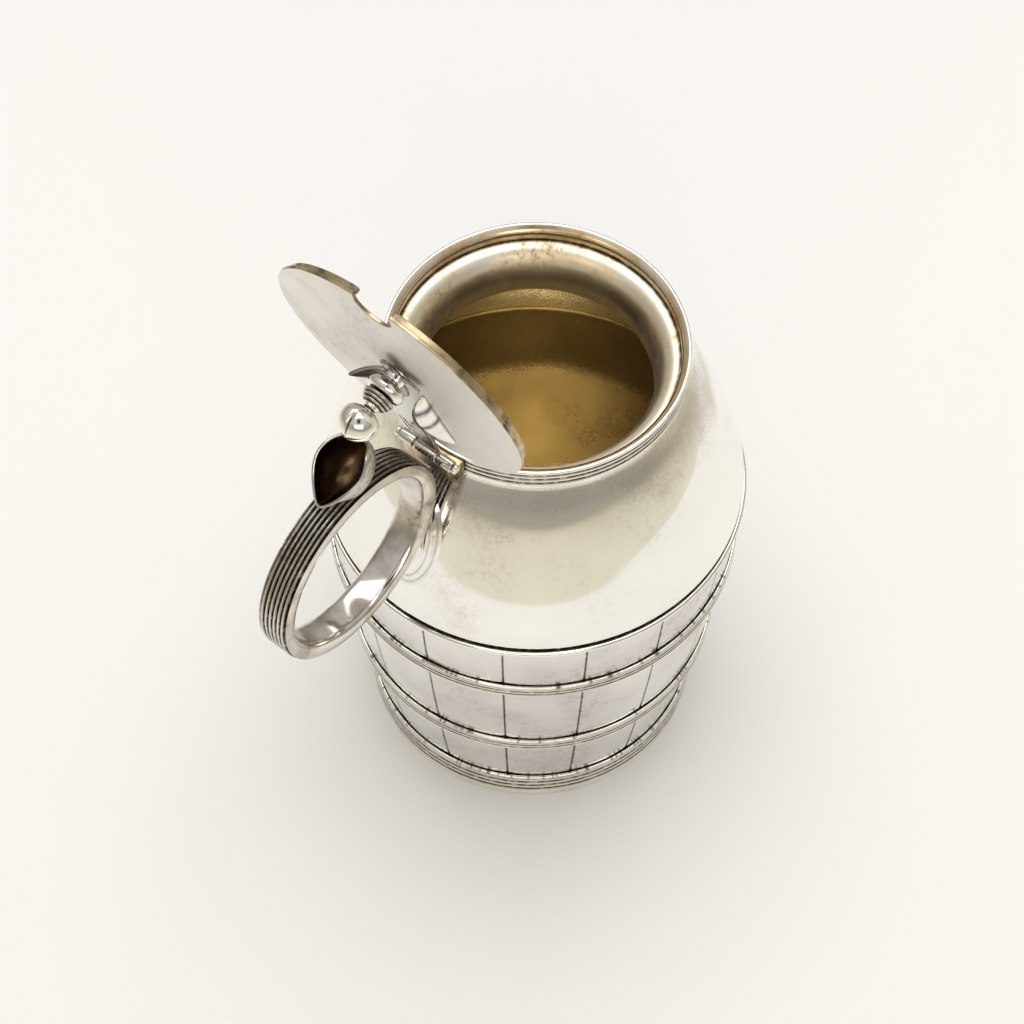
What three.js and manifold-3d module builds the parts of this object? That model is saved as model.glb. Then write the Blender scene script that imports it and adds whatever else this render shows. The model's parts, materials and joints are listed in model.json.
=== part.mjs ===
// Barrel-shaped silver mustard pot with a hinged flat lid and a reeded ring handle.
// Millimetres, +Z up. The pot's axis is Z, the handle and hinge are towards -X, and the lid is
// drawn swung open on its stop. Heights in this file are measured from a datum near the bottom
// of the barrel wall; each mesh is then raised by FOOT_DROP, so the foot rests on z = 0.
import * as THREE from "three";
import { mergeVertices } from "three/addons/utils/BufferGeometryUtils.js";
import Module from "manifold-3d";

const wasm = await Module();
wasm.setup();

// ---- driving dimensions ------------------------------------------------------------------
const GAP = 0.1; // clearance left between soldered neighbours
const BODY_SEGMENTS = 48; // facets round every piece that shares the pot's axis

const FOOT_DROP = 2.4; // the ground lies this far below the datum
const FOOT_R = 29.5; // widest radius of the foot flange
const FLANGE_TOP = -0.75;
const DISC_R = 26.9;
const DISC_H = 1.2; // thickness of the base disc
const WALL_BOTTOM = -0.65;
const WALL_TOP = 59.8;
const WALL_T = 1.1;
const HOOP_PROUD = 0.6;
const HOOP_H = 2.9;
const HOOP_TOPS = { hoop_lower: 24.1, hoop_upper: 48.4 };
const FOOT_HOOP_TOP = 4.75;
const SHOULDER_R = 36.0;
const SHOULDER_Z = 61.44;
const NECK_TOP = 93.2;

const LIP_R = 24.71; // outside of the lip
const LIP_Z = 97.47; // top of the lip, the height of the pot with its lid closed
const REBATE_R = 23.2; // recess the lid drops into
const LEDGE_Z = 94.7;
const THROAT_R = 19.2;
const THROAT_TOP = 90.9;
const THROAT_BOTTOM = 86.4;

const HINGE_X = -27.0;
const HINGE_Z = 98.4;
const BARREL_R = 1.0; // outside radius of the hinge knuckles
const PIN_R = 0.5;
const PIN_CLEAR = 0.05;
const BARREL_HALF = 5.2; // half the length of the three knuckles together
const LID_KNUCKLE_HALF = 2.2;
const OPEN_ANGLE = 103.7 * Math.PI / 180;

const LID_R = 22.65;
const LID_TOP = 97.4; // top face of the closed lid
const LID_T = 0.6;
const BEZEL_R = 22.1;
const BEZEL_H = 0.9;
const NOTCH_HALF = 3.4; // half width of the spoon notch
const NOTCH_DEPTH = 5.3;

const RING_X = -45.9; // centre of the ring handle
const RING_Z = 91.5;
const RING_R = 18.0;
const RING_BORE = 15.15;
const RING_HALF = 2.85; // half the width of the band
const REST_RIM_Z = 118.75; // inner rim of the thumb rest, just under the bud of the open lid

// ---- helpers -----------------------------------------------------------------------------

// Turned body about Z. The profile is a list of [radius, z], anticlockwise with radius to the
// right; it either closes on itself or starts and ends on the axis.
function turned(profile, segments = BODY_SEGMENTS) {
  const points = profile.map(([r, z]) => new THREE.Vector2(r, z));
  const onAxis = profile[0][0] === 0;
  if (!onAxis) points.push(points[0].clone());
  const geometry = new THREE.LatheGeometry(points, segments);
  geometry.rotateX(Math.PI / 2);
  return geometry;
}

// A turned solid is closed for manifold work by dropping its normals and welding its seam.
function toManifold(geometry) {
  const bare = geometry.clone();
  bare.deleteAttribute("normal");
  bare.deleteAttribute("uv");
  const welded = mergeVertices(bare, 1e-4);
  const mesh = new wasm.Mesh({
    numProp: 3,
    vertProperties: new Float32Array(welded.attributes.position.array),
    triVerts: new Uint32Array(welded.index.array),
  });
  mesh.merge();
  return new wasm.Manifold(mesh);
}

function fromManifold(solid) {
  const mesh = solid.getMesh();
  const geometry = new THREE.BufferGeometry();
  geometry.setAttribute("position", new THREE.BufferAttribute(new Float32Array(mesh.vertProperties), 3));
  geometry.setIndex(new THREE.BufferAttribute(new Uint32Array(mesh.triVerts), 1));
  geometry.computeVertexNormals();
  return geometry;
}

function cut(geometry, ...tools) {
  let solid = toManifold(geometry);
  for (const tool of tools) solid = solid.subtract(toManifold(tool));
  return fromManifold(solid);
}

function box(x0, x1, y0, y1, z0, z1) {
  const geometry = new THREE.BoxGeometry(x1 - x0, y1 - y0, z1 - z0);
  geometry.translate((x0 + x1) / 2, (y0 + y1) / 2, (z0 + z1) / 2);
  return geometry;
}

// Round bar along Y through (x, z).
function barY(radius, y0, y1, x, z, segments = 24) {
  const geometry = new THREE.CylinderGeometry(radius, radius, y1 - y0, segments);
  geometry.translate(x, (y0 + y1) / 2, z);
  return geometry;
}

function ellipsoid(rx, ry, rz, x, y, z, detail = 20) {
  const geometry = new THREE.SphereGeometry(1, detail, Math.round(detail * 0.6));
  geometry.scale(rx, ry, rz);
  geometry.translate(x, y, z);
  return geometry;
}

// Outside radius of the barrel wall: it widens upwards and bulges slightly, as staves do.
const wallRadius = (z) => 28.345 + 0.1733 * z - 0.0008 * z * z;

const materials = {
  silver: new THREE.MeshStandardMaterial({ color: 0xd8d4cc, roughness: 0.22, metalness: 1 }),
  silverReeded: new THREE.MeshStandardMaterial({ color: 0xb9b3a8, roughness: 0.35, metalness: 1 }),
  silverGilt: new THREE.MeshStandardMaterial({ color: 0xa88a52, roughness: 0.38, metalness: 1 }),
  silverLid: new THREE.MeshStandardMaterial({ color: 0xdedbd6, roughness: 0.4, metalness: 1 }),
};

const group = new THREE.Group();
group.name = "mustard_pot";

function place(name, geometry, material) {
  const mesh = new THREE.Mesh(geometry, material);
  mesh.name = name;
  mesh.position.z = FOOT_DROP;
  group.add(mesh);
}

// ---- barrel ------------------------------------------------------------------------------

function baseDisc() {
  const top = DISC_H - FOOT_DROP;
  return turned([[0, -FOOT_DROP], [DISC_R, -FOOT_DROP], [DISC_R, top], [0, top]]);
}

function footFlange() {
  const inner = DISC_R + GAP;
  return turned([
    [inner, -FOOT_DROP], [FOOT_R - 0.2, -FOOT_DROP], [FOOT_R, 0.3 - FOOT_DROP], [FOOT_R, FLANGE_TOP - 0.3],
    [FOOT_R - 0.3, FLANGE_TOP], [inner, FLANGE_TOP],
  ]);
}

function barrelWall() {
  const outside = [];
  const rows = 7;
  for (let i = 0; i <= rows; i += 1) {
    const z = WALL_BOTTOM + ((WALL_TOP - WALL_BOTTOM) * i) / rows;
    outside.push([wallRadius(z), z]);
  }
  const inside = outside.map(([r, z]) => [r - WALL_T, z]).reverse();
  return turned([...outside, ...inside]);
}

// Reeded hoop round the wall.
function hoop(top, height = HOOP_H, reeds = 3) {
  const bottom = top - height;
  const pitch = height / reeds;
  const outer = [];
  for (let i = 0; i < reeds; i += 1) {
    const z = bottom + i * pitch;
    outer.push([wallRadius(z) + HOOP_PROUD * 0.7, z + 0.02]);
    outer.push([wallRadius(z) + HOOP_PROUD, z + pitch * 0.5]);
  }
  outer.push([wallRadius(top) + HOOP_PROUD * 0.7, top]);
  return turned([[wallRadius(bottom) + GAP, bottom], ...outer, [wallRadius(top) + GAP, top]]);
}

// Thin bead that covers the joint between the wall and the dome.
function shoulderWire() {
  const bottom = WALL_TOP + GAP;
  return turned([
    [34.6, bottom], [35.9, bottom], [SHOULDER_R + 0.15, bottom + 0.3],
    [SHOULDER_R + 0.15, bottom + 0.8], [35.9, bottom + 1.1], [34.6, bottom + 1.1],
  ]);
}

// Outside of the dome from the shoulder up to the neck.
const DOME = [
  [35.6, 61.1], [35.95, SHOULDER_Z], [35.0, 66], [33.8, 70], [32.1, 75], [30.3, 80],
  [28.6, 84], [26.55, 88], [24.7, 91], [23.9, NECK_TOP],
];

function shoulderDome() {
  const inner = [
    [22.8, NECK_TOP], [23.5, 91.0], [25.5, 87.5], [27.6, 83.5], [31.0, 74.7],
    [33.9, 65.7], [34.6, 61.1],
  ];
  return turned([...DOME, ...inner]);
}

// ---- mouth -------------------------------------------------------------------------------

// Lip with a lip line and three reeds outside and the lid's recess inside.
function lipCollar() {
  const bottom = NECK_TOP + GAP;
  const reeds = [];
  const pitch = (LIP_Z - 0.8 - bottom) / 3;
  for (let i = 0; i < 3; i += 1) {
    const z = bottom + i * pitch;
    reeds.push([24.35, z + 0.05], [24.62, z + pitch * 0.5]);
  }
  return turned([
    [REBATE_R, bottom], ...reeds, [24.35, LIP_Z - 0.8], [LIP_R, LIP_Z - 0.6],
    [LIP_R, LIP_Z - 0.15], [LIP_R - 0.2, LIP_Z], [REBATE_R + 0.15, LIP_Z], [REBATE_R, LIP_Z - 0.15],
  ]);
}

// Gilt funnel from the ledge down through a quarter round to the throat.
function mouthFunnel() {
  const rim = REBATE_R - GAP;
  const start = 22.5;
  const round = [];
  const steps = 5;
  for (let i = 0; i <= steps; i += 1) {
    const a = (i / steps) * Math.PI / 2;
    round.push([
      start - (start - THROAT_R) * Math.sin(a),
      THROAT_TOP + (LEDGE_Z - THROAT_TOP) * Math.cos(a),
    ]);
  }
  return turned([
    [rim, LEDGE_Z - 0.9], [rim, LEDGE_Z], ...round, [THROAT_R, THROAT_BOTTOM],
    [THROAT_R + 0.8, THROAT_BOTTOM], [THROAT_R + 0.8, THROAT_TOP], [THROAT_R + 1.2, 92.4],
    [THROAT_R + 2.3, LEDGE_Z - 1.1],
  ]);
}

// ---- hinge -------------------------------------------------------------------------------

// Tab soldered to the collar that carries the two outer knuckles.
function hingeBracket() {
  const tab = box(HINGE_X + 0.2, -24.1, -BARREL_HALF, BARREL_HALF, 93.6, HINGE_Z - 1.3);
  const collar = turned([[0, 90], [LIP_R + GAP, 90], [LIP_R + GAP, 99], [0, 99]]);
  return cut(tab, collar);
}

function bodyKnuckle(side) {
  const inner = LID_KNUCKLE_HALF + GAP;
  const y0 = side > 0 ? inner : -BARREL_HALF;
  const y1 = side > 0 ? BARREL_HALF : -inner;
  const barrel = barY(BARREL_R, y0, y1, HINGE_X, HINGE_Z);
  return cut(barrel, barY(PIN_R + PIN_CLEAR, -9, 9, HINGE_X, HINGE_Z));
}

function hingePin() {
  return barY(PIN_R, -BARREL_HALF, BARREL_HALF, HINGE_X, HINGE_Z);
}

function pinCap(side) {
  const y0 = side > 0 ? BARREL_HALF + GAP : -BARREL_HALF - GAP - 0.8;
  return barY(0.85, y0, y0 + 0.8, HINGE_X, HINGE_Z);
}

// ---- ring handle -------------------------------------------------------------------------

// Band bent to a circle that stands in the plane y = 0, six reeds on its outer face.
function ringHandle() {
  const reeds = 6;
  const pitch = (2 * RING_HALF - 1.2) / reeds;
  const outer = [[RING_R - 0.7, -RING_HALF], [RING_R - 0.15, -RING_HALF + 0.4]];
  for (let i = 0; i < reeds; i += 1) {
    const y = -RING_HALF + 0.6 + i * pitch;
    outer.push([RING_R - 0.35, y], [RING_R, y + pitch * 0.5]);
  }
  outer.push([RING_R - 0.35, RING_HALF - 0.6], [RING_R - 0.15, RING_HALF - 0.4], [RING_R - 0.7, RING_HALF]);
  const inner = [
    [RING_BORE + 0.5, RING_HALF], [RING_BORE, RING_HALF - 0.6],
    [RING_BORE, -RING_HALF + 0.6], [RING_BORE + 0.5, -RING_HALF],
  ];
  const geometry = turned([...outer, ...inner], 44);
  geometry.rotateX(-Math.PI / 2);
  geometry.translate(RING_X, 0, RING_Z);
  return geometry;
}

// Solid used to shape the pads: everything inside the dome, grown by a margin.
function domeCore(margin) {
  const profile = DOME.map(([r, z]) => [r + margin, z]);
  return turned([[0, 61.1], ...profile, [0, NECK_TOP]]);
}

// Oval pad that fills the space between the dome and the ring. The low oval is the wide step,
// the high one stands on it and is trimmed to the ring.
function handlePad(halfWidth, halfHeight, inside, outside) {
  const centre = 77.6;
  const plug = new THREE.CylinderGeometry(1, 1, 16, 32);
  plug.rotateZ(Math.PI / 2);
  plug.scale(1, halfWidth, halfHeight);
  plug.rotateY(-0.34);
  plug.translate(-31.4, 0, centre);
  const ringDisc = barY(RING_R + GAP, -9, 9, RING_X, RING_Z, 44);
  const shell = toManifold(plug).intersect(toManifold(domeCore(outside)));
  const trimmed = shell.subtract(toManifold(domeCore(inside))).subtract(toManifold(ringDisc));
  const halves = trimmed.decompose();
  halves.sort((a, b) => b.volume() - a.volume());
  return fromManifold(halves[0]);
}

// Hollow leaf that stands on top of the ring with its open side outwards and up.
function thumbRest() {
  const x = -45.9;
  const z = 115.4;
  const outer = ellipsoid(5.9, 4.5, 5.6, x, 0, z, 22);
  const hollow = ellipsoid(5.3, 3.9, 5.0, x, 0, z, 22);
  const mouth = barY(9, -7, 7, x - 5.2, z + 9.3, 40);
  const underBud = box(x - 8, x + 8, -7, 7, REST_RIM_Z, z + 8);
  return cut(outer, hollow, mouth, underBud);
}

// Short collar between the ring and the hollow leaf.
function thumbRestFoot() {
  const block = turned([[0, 106], [1.9, 106], [1.9, 112], [0, 112]], 24);
  block.translate(-45.9, 0, 0);
  const ringDisc = barY(RING_R + GAP, -9, 9, RING_X, RING_Z, 44);
  return cut(block, ringDisc, ellipsoid(5.9 + GAP, 4.5 + GAP, 5.6 + GAP, -45.9, 0, 115.4, 22));
}

// ---- lid, drawn closed and then swung open -----------------------------------------------

// Upright prism in the outline of the spoon notch.
function notchPrism() {
  const shape = new THREE.Shape();
  const flat = LID_R - NOTCH_DEPTH + NOTCH_HALF;
  shape.moveTo(LID_R + 4, -NOTCH_HALF);
  shape.lineTo(LID_R + 4, NOTCH_HALF);
  shape.lineTo(flat, NOTCH_HALF);
  shape.absarc(flat, 0, NOTCH_HALF, Math.PI / 2, Math.PI * 1.5, false);
  const geometry = new THREE.ExtrudeGeometry(shape, { depth: 12, bevelEnabled: false, curveSegments: 16 });
  geometry.translate(0, 0, 90);
  return geometry;
}

function lidPlate() {
  const low = LID_TOP - LID_T;
  const disc = turned([[0, low], [LID_R - 0.1, low], [LID_R, low + 0.15], [LID_R, LID_TOP - 0.1],
    [LID_R - 0.1, LID_TOP], [0, LID_TOP]]);
  return cut(disc, notchPrism());
}

function lidBezel() {
  const top = LID_TOP - LID_T - 0.05;
  const band = turned([[BEZEL_R - 0.9, top - BEZEL_H], [BEZEL_R, top - BEZEL_H], [BEZEL_R, top],
    [BEZEL_R - 0.9, top]]);
  return cut(band, notchPrism());
}

// Tongue on the lid's top face that reaches back over the lip to the middle knuckle.
function lidStrap() {
  const low = LIP_Z + GAP;
  const tongue = box(HINGE_X + BARREL_R * 0.5, -17.5, -LID_KNUCKLE_HALF, LID_KNUCKLE_HALF, low, low + 0.7);
  return cut(tongue, barY(BARREL_R + GAP / 2, -9, 9, HINGE_X, HINGE_Z));
}

function lidKnuckle() {
  const barrel = barY(BARREL_R, -LID_KNUCKLE_HALF, LID_KNUCKLE_HALF, HINGE_X, HINGE_Z);
  return cut(barrel, barY(PIN_R + PIN_CLEAR, -9, 9, HINGE_X, HINGE_Z));
}

// Pointed oval leaf, base near the finial's axis, tip bent up by a tilt.
function calyxLeaf(turn, tilt, reach) {
  const shape = new THREE.Shape();
  const half = 1.7;
  shape.moveTo(2.0, -0.8);
  shape.quadraticCurveTo(reach * 0.6, -half, reach, 0);
  shape.quadraticCurveTo(reach * 0.6, half, 2.0, 0.8);
  const geometry = new THREE.ExtrudeGeometry(shape, { depth: 0.4, bevelEnabled: false, curveSegments: 8 });
  geometry.translate(-2.0, 0, 0);
  geometry.rotateY(-tilt);
  geometry.translate(2.0, 0, LID_TOP + 0.15);
  geometry.rotateZ(turn);
  return geometry;
}

function turnedOnLid(profile, segments = 20) {
  const geometry = turned(profile, segments);
  geometry.translate(0, 0, LID_TOP);
  return geometry;
}

const finial = {
  finial_foot: [[0, 0.1], [1.8, 0.1], [1.8, 1.5], [1.4, 1.9], [0, 1.9]],
  finial_knop: [[0, 2.0], [1.9, 2.0], [2.8, 2.4], [3.1, 3.0], [3.1, 3.5], [2.8, 4.0], [1.9, 4.4], [0, 4.4]],
  finial_reeds: [[0, 4.5], [2.1, 4.5], [2.6, 4.75], [2.1, 5.1], [2.45, 5.35], [1.9, 5.7], [2.1, 5.95],
    [1.5, 6.3], [0, 6.3]],
  finial_neck: [[0, 6.4], [1.2, 6.4], [1.0, 6.8], [1.1, 7.1], [0, 7.1]],
  finial_bud: [[0, 7.2], [1.2, 7.2], [2.2, 7.8], [2.8, 8.8], [2.9, 9.8], [2.6, 10.8], [1.9, 11.7],
    [1.0, 12.3], [0, 12.6]],
};

// Half leaf that stands on the lid beside the hinge, a lift for the thumb.
function thumbLift() {
  const length = 13.4;
  const shape = new THREE.Shape();
  shape.moveTo(-length / 2, 0);
  shape.lineTo(length / 2, 0);
  shape.bezierCurveTo(length * 0.3, 1.4, length * 0.1, 3.2, -length * 0.1, 3.2);
  shape.bezierCurveTo(-length * 0.3, 3.2, -length * 0.45, 1.9, -length / 2, 0);
  const geometry = new THREE.ExtrudeGeometry(shape, { depth: 0.9, bevelEnabled: false, curveSegments: 10 });
  geometry.rotateX(Math.PI / 2);
  geometry.rotateZ(Math.PI + 0.28);
  geometry.translate(-11.5, -5.0, LID_TOP + GAP);
  return geometry;
}

// Small domed head of the finial's rivet on the underside of the lid.
function finialNut() {
  const top = LID_TOP - LID_T - GAP;
  return turned([[0, top - 0.8], [1.2, top - 0.7], [1.9, top - 0.3], [2.0, top], [0, top]], 20);
}

function swingOpen(geometry) {
  geometry.translate(-HINGE_X, 0, -HINGE_Z);
  geometry.rotateY(-OPEN_ANGLE);
  geometry.translate(HINGE_X, 0, HINGE_Z);
  return geometry;
}

// ---- assembly ----------------------------------------------------------------------------

place("base_disc", baseDisc(), materials.silverGilt);
place("foot_flange", footFlange(), materials.silver);
place("foot_hoop", hoop(FOOT_HOOP_TOP, FOOT_HOOP_TOP - WALL_BOTTOM, 4), materials.silverReeded);
place("barrel_wall", barrelWall(), materials.silver);
for (const [name, top] of Object.entries(HOOP_TOPS)) place(name, hoop(top), materials.silverReeded);
place("shoulder_wire", shoulderWire(), materials.silver);
place("shoulder_dome", shoulderDome(), materials.silver);
place("lip_collar", lipCollar(), materials.silverReeded);
place("mouth_funnel", mouthFunnel(), materials.silverGilt);

place("hinge_bracket", hingeBracket(), materials.silver);
place("hinge_knuckle_left", bodyKnuckle(1), materials.silver);
place("hinge_knuckle_right", bodyKnuckle(-1), materials.silver);
place("hinge_pin", hingePin(), materials.silver);
place("pin_cap_left", pinCap(1), materials.silver);
place("pin_cap_right", pinCap(-1), materials.silver);

place("ring_handle", ringHandle(), materials.silverReeded);
place("handle_pad_step", handlePad(5.2, 9.6, 0.08, 0.55), materials.silver);
place("handle_pad", handlePad(3.9, 8.2, 0.63, 1.7), materials.silver);
place("thumb_rest", thumbRest(), materials.silverReeded);
place("thumb_rest_foot", thumbRestFoot(), materials.silverReeded);

place("lid_plate", swingOpen(lidPlate()), materials.silverLid);
place("lid_bezel", swingOpen(lidBezel()), materials.silverGilt);
place("lid_strap", swingOpen(lidStrap()), materials.silverLid);
place("lid_knuckle", swingOpen(lidKnuckle()), materials.silver);
const LEAVES = {
  calyx_leaf_notch: [0, 0.2, 6.4],
  calyx_leaf_right: [-Math.PI / 2, 0.12, 6.6],
  calyx_leaf_hinge: [Math.PI, 0.2, 6.4],
  calyx_leaf_left: [Math.PI / 2, 0.75, 7.2],
};
for (const [name, [turn, tilt, reach]] of Object.entries(LEAVES)) {
  place(name, swingOpen(calyxLeaf(turn, tilt, reach)), materials.silver);
}
for (const [name, profile] of Object.entries(finial)) {
  place(name, swingOpen(turnedOnLid(profile)), materials.silver);
}
place("thumb_lift", swingOpen(thumbLift()), materials.silver);
place("finial_nut", swingOpen(finialNut()), materials.silverGilt);

export default group;
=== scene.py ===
import json
import math
import random

import bmesh
import bpy
from mathutils import Matrix, Vector


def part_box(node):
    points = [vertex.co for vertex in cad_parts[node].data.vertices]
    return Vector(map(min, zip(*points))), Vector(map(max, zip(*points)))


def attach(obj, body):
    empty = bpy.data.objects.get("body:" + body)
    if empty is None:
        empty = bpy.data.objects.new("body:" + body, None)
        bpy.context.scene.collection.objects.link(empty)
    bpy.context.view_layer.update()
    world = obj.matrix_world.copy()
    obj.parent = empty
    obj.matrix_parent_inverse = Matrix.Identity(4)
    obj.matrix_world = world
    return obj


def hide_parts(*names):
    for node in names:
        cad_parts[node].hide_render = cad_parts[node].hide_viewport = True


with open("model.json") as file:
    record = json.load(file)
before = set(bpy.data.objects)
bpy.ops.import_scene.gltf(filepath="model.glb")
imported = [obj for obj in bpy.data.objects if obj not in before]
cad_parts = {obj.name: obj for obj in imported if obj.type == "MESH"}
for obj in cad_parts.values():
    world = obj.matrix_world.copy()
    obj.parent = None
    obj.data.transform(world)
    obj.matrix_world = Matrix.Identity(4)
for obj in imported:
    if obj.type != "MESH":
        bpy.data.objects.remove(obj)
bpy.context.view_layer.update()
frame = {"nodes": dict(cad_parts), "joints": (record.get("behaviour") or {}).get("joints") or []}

MM = 0.001
TURN = 2 * math.pi


def span(node):
    """A CAD node's lowest and highest corner in millimetres."""
    low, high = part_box(node)
    return Vector(low) / MM, Vector(high) / MM


# ---- places taken from the frame ------------------------------------------------------------

HINGE = frame["joints"][0]
HINGE_AT = Vector(HINGE["pos_m"]) / MM
OPEN_ANGLE = math.radians(HINGE["range_deg"][1])
FOOT_R = span("foot_flange")[1].x
FLANGE_TOP = span("foot_flange")[1].z
DISC_R = span("base_disc")[1].x
DISC_TOP = span("base_disc")[1].z
WALL_LOW, WALL_HIGH = span("barrel_wall")[0].z, span("barrel_wall")[1].z
DOME_LOW = span("shoulder_dome")[0].z
LIP_R, LIP_Z = span("lip_collar")[1].x, span("lip_collar")[1].z
COLLAR_LOW = span("lip_collar")[0].z
FUNNEL_LOW = span("mouth_funnel")[0].z
RING_LOW, RING_HIGH = span("ring_handle")
RING_AT = (RING_LOW + RING_HIGH) / 2
RING_R = (RING_HIGH.z - RING_LOW.z) / 2
RING_HALF = (RING_HIGH.y - RING_LOW.y) / 2
REST_LOW, REST_HIGH = span("thumb_rest")
KNUCKLE_R = (span("hinge_knuckle_left")[1].z - span("hinge_knuckle_left")[0].z) / 2
LID_R = span("lid_plate")[1].y

# ---- driving dimensions of the detail -------------------------------------------------------

DATUM = LIP_Z - 97.47  # height that the barrel's and dome's curves are measured from
WALL_T = 1.1
PAINTED_SHADE_LOW = DATUM + 40.0  # painted shade: the gilding inside the barrel is painted darker above this height, where less light reaches it
STAVES = 16
STAVE_TURN = math.radians(8.0)  # turn of the first engraved line from the handle
ENGRAVED = 0.24  # half width of an engraved line
HOOP_PROUD = 0.6
HOOP_FILLET = 0.5  # height of a hoop's plain upper edge
HOOP_COLUMNS = 540  # steps around a hoop; each may carry a speck of tarnish
SPECK_SHARE = 0.11
NECK_Z = LIP_Z - 4.2
PAD_Z = DATUM + 77.6  # middle of the oval pads behind the ring
REBATE_R = 23.2
LEDGE_Z = LIP_Z - 2.77
THROAT_R = 19.2
THROAT_TOP = LIP_Z - 9.0
PIN_CAP_R = 0.82
LID_TOP = LIP_Z - 0.07  # top of the closed lid
LID_T = 0.6
NOTCH_HALF = 3.4
NOTCH_DEPTH = 5.3

# Swings what is built on the closed lid to the open rest pose.
LID_POSE = (
    Matrix.Translation(HINGE_AT)
    @ Matrix.Rotation(-OPEN_ANGLE, 4, "Y")
    @ Matrix.Translation(-HINGE_AT)
)


def direction(azimuth, elevation):
    """Unit vector at an angle from +X in the XY plane and a height angle, both in degrees."""
    a, e = math.radians(azimuth), math.radians(elevation)
    return Vector((math.cos(a) * math.cos(e), math.sin(a) * math.cos(e), math.sin(e)))


# Places and distances of the stage, in metres.
AIM = Vector((-8.44, -2.0, DATUM + 60.0)) * MM  # point the camera looks at
CAMERA_BACK = direction(-141.18, 57.48)
CAMERA_DISTANCE = 0.47246
CARD_DISTANCE = 0.56
PAPER_R = 0.214  # radius of the white paper under the pot


# ---- mesh helpers ---------------------------------------------------------------------------


def turned(profile, angles=None, carve=None, steps=160):
    """Revolves a closed profile of (radius, z, groove) points about Z.

    The profile runs anticlockwise with radius to the right. carve(angle, radius, z) may give
    a change of radius and a groove value. Returns a shape: vertices, faces, groove values and
    the profile segment each face belongs to."""
    angles = angles or [TURN * i / steps for i in range(steps)]
    verts, groove, faces, segment = [], [], [], []
    for a in angles:
        for r, z, dark in profile:
            change, extra = carve(a, r, z) if carve else (0.0, 0.0)
            verts.append(((r + change) * math.cos(a), (r + change) * math.sin(a), z))
            groove.append(max(dark, extra))
    n = len(profile)
    for i in range(len(angles)):
        k = (i + 1) % len(angles)
        for j in range(n):
            m = (j + 1) % n
            faces.append((i * n + j, k * n + j, k * n + m, i * n + m))
            segment.append(j)
    return verts, faces, groove, segment


def grid(rows, columns, point, closed=False):
    """A rows by columns sheet from point(s, t), each from 0 to 1; closed joins the columns."""
    verts, faces, groove = [], [], []
    for i in range(rows):
        for j in range(columns):
            position, dark = point(i / (rows - 1), j / (columns if closed else columns - 1))
            verts.append(position)
            groove.append(dark)
    for i in range(rows - 1):
        for j in range(columns if closed else columns - 1):
            k = (j + 1) % columns
            faces.append((i * columns + j, i * columns + k, (i + 1) * columns + k, (i + 1) * columns + j))
    return verts, faces, groove, [0] * len(faces)


def through(points, per=6):
    """A smooth Catmull-Rom run through (radius, z) points."""
    ends = [points[0], *points, points[-1]]
    run = []
    for a, b, c, d in zip(ends, ends[1:], ends[2:], ends[3:]):
        for i in range(per):
            t = i / per
            run.append(tuple(
                0.5 * (2 * q + (r - p) * t + (2 * p - 5 * q + 4 * r - s) * t * t
                       + (3 * q - p - 3 * r + s) * t ** 3)
                for p, q, r, s in zip(a, b, c, d)
            ))
    run.append(tuple(points[-1]))
    return run


def plain(points, dark=0.0):
    return [(r, z, dark) for r, z in points]


def reeds(start, end, count, depth, samples=8):
    """Half-round reeds between two profile points, with tarnish in the grooves between them."""
    (r0, z0), (r1, z1) = start, end
    length = math.hypot(r1 - r0, z1 - z0)
    out_r, out_z = (z1 - z0) / length, -(r1 - r0) / length
    run = []
    for i in range(count * samples + 1):
        s = i / (count * samples)
        bulge = abs(math.sin(math.pi * count * s)) ** 0.7
        lift = depth * (bulge - 1)
        dark = min(1.0, 2.1 * (1 - bulge))
        run.append((r0 + (r1 - r0) * s + out_r * lift, z0 + (z1 - z0) * s + out_z * lift, dark))
    return run


def about_y(shape, centre):
    """Turns a lathe shape's axis from Z to Y and moves it to centre."""
    verts, faces, groove, segment = shape
    return [(x + centre.x, z + centre.y, -y + centre.z) for x, y, z in verts], faces, groove, segment


def shifted(shape, along_x):
    verts, faces, groove, segment = shape
    return [(x + along_x, y, z) for x, y, z in verts], faces, groove, segment


def half_circle(centre_r, centre_z, reach, rise, steps):
    """Points of a half ellipse that bulges away from the axis, from its foot to its top."""
    points = []
    for i in range(steps + 1):
        a = -math.pi / 2 + math.pi * i / steps
        points.append((centre_r + reach * math.cos(a), centre_z + rise * math.sin(a)))
    return points


def soften(obj, solidify, bevel, subdivide):
    """Gives a sheet its thickness, rounds worn edges and smooths, each only where asked."""
    if solidify:
        shell = obj.modifiers.new("thickness", "SOLIDIFY")
        shell.thickness = solidify * MM
        shell.offset = 0.0
    if bevel:
        edge = obj.modifiers.new("worn edges", "BEVEL")
        edge.width = bevel * MM
        edge.segments = 3
        edge.limit_method = "ANGLE"
        edge.angle_limit = math.radians(35)
    if subdivide:
        smooth = obj.modifiers.new("smooth", "SUBSURF")
        smooth.levels = subdivide
        smooth.render_levels = subdivide


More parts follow.
